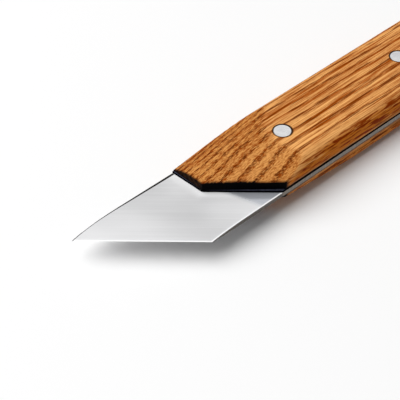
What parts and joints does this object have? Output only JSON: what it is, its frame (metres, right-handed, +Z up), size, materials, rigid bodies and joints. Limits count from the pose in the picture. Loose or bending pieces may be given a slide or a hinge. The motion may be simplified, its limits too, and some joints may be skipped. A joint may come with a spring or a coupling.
{
  "type": "skew carving knife",
  "caption": "Full-tang carving knife with a slanted straight edge, oak scales that ramp down to blackened fronts, and steel through pins flush with the wood.",
  "frame": {"origin": "middle of the knife's length and width, on the flat of the back scale that it lies on", "axes": "+X from the tip to the butt, +Y from the heel side to the spine, +Z up through the thickness"},
  "size_m": [0.162, 0.03, 0.0151],
  "materials": {
    "blade_steel": "fine satin, brushed along the cutting edge",
    "oak": "oiled satin oak with blackened front faces",
    "bedding": "black, semi-matt",
    "pin_steel": "satin, ground flush"
  },
  "bodies": {
    "root": {"blade": "blade_steel", "front_scale": "oak", "back_scale": "oak", "front_bedding": "bedding", "back_bedding": "bedding", "front_pin": "pin_steel", "rear_pin": "pin_steel"}
  },
  "joints": []
}
